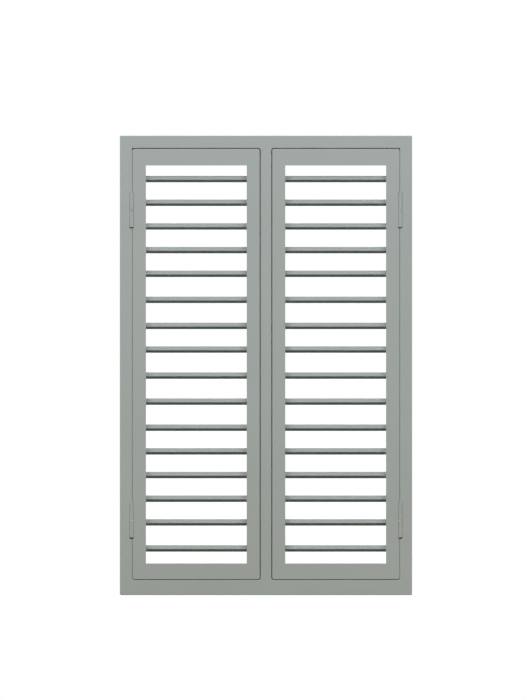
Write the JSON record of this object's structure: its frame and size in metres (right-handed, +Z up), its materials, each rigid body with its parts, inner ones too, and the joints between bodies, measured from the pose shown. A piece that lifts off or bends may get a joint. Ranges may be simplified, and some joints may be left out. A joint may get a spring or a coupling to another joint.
{
  "type": "french window",
  "caption": "Steel french window: a box-section frame with a mullion and a fixed grille of level bars, and outward glazed sashes on bullet hinges with sliding bolts and pull handles.",
  "frame": {"origin": "middle of the sill's underside, half way through the frame's depth", "axes": "+X along the wall to the right seen from outside, +Y indoors, +Z up"},
  "size_m": [1, 0.118, 1.572],
  "materials": {
    "grey_paint": "satin",
    "glass": "clear",
    "rubber": "matt",
    "bright_steel": "zinc plated",
    "handle_steel": "satin"
  },
  "bodies": {
    "frame": {"frame_head": "grey_paint", "frame_jamb_left": "grey_paint", "frame_jamb_right": "grey_paint", "frame_sill": "grey_paint", "grille_bar_01": "grey_paint", "grille_bar_02": "grey_paint", "grille_bar_03": "grey_paint", "grille_bar_04": "grey_paint", "grille_bar_05": "grey_paint", "grille_bar_06": "grey_paint", "grille_bar_07": "grey_paint", "grille_bar_08": "grey_paint", "grille_bar_09": "grey_paint", "grille_bar_10": "grey_paint", "grille_bar_11": "grey_paint", "grille_bar_12": "grey_paint", "grille_bar_13": "grey_paint", "grille_bar_14": "grey_paint", "grille_bar_15": "grey_paint", "grille_bar_16": "grey_paint", "hinge_pins": "bright_steel", "hinge_washers": "bright_steel", "lower_hinge_frame_knuckle_left": "grey_paint", "lower_hinge_frame_knuckle_right": "grey_paint", "mullion": "grey_paint", "upper_hinge_frame_knuckle_left": "grey_paint", "upper_hinge_frame_knuckle_right": "grey_paint", "weather_seals": "rubber"},
    "sash_left": {"bottom_rail_left": "grey_paint", "cross_beads_left": "grey_paint", "glass_left": "glass", "glazing_gasket_left": "rubber", "hinge_stile_left": "grey_paint", "lock_stile_left": "grey_paint", "lower_bolt_guide_left": "grey_paint", "lower_hinge_sash_knuckle_left": "grey_paint", "pull_handle_left": "handle_steel", "top_rail_left": "grey_paint", "upper_bolt_guide_left": "grey_paint", "upper_hinge_sash_knuckle_left": "grey_paint", "upright_beads_left": "grey_paint"},
    "sash_right": {"bottom_rail_right": "grey_paint", "cross_beads_right": "grey_paint", "glass_right": "glass", "glazing_gasket_right": "rubber", "hinge_stile_right": "grey_paint", "lock_stile_right": "grey_paint", "lower_bolt_guide_right": "grey_paint", "lower_hinge_sash_knuckle_right": "grey_paint", "pull_handle_right": "handle_steel", "top_rail_right": "grey_paint", "upper_bolt_guide_right": "grey_paint", "upper_hinge_sash_knuckle_right": "grey_paint", "upright_beads_right": "grey_paint"},
    "upper_bolt_left_body": {"upper_bolt_left": "bright_steel"},
    "lower_bolt_left_body": {"lower_bolt_left": "bright_steel"},
    "upper_bolt_right_body": {"upper_bolt_right": "bright_steel"},
    "lower_bolt_right_body": {"lower_bolt_right": "bright_steel"}
  },
  "joints": [
    {"name": "sash_left_swing", "type": "hinge", "parent": "frame", "child": "sash_left", "pos_m": [-0.4597, -0.056, 0.786], "axis": [0, 0, -1], "range_deg": [0, 110]},
    {"name": "upper_bolt_left_slide", "type": "slide", "parent": "sash_left", "child": "upper_bolt_left_body", "axis": [0, 0, 1], "range_m": [0, 0.02]},
    {"name": "lower_bolt_left_slide", "type": "slide", "parent": "sash_left", "child": "lower_bolt_left_body", "axis": [0, 0, -1], "range_m": [0, 0.02]},
    {"name": "sash_right_swing", "type": "hinge", "parent": "frame", "child": "sash_right", "pos_m": [0.4597, -0.056, 0.786], "axis": [0, 0, 1], "range_deg": [0, 110]},
    {"name": "upper_bolt_right_slide", "type": "slide", "parent": "sash_right", "child": "upper_bolt_right_body", "axis": [0, 0, 1], "range_m": [0, 0.02]},
    {"name": "lower_bolt_right_slide", "type": "slide", "parent": "sash_right", "child": "lower_bolt_right_body", "axis": [0, 0, -1], "range_m": [0, 0.02]}
  ]
}
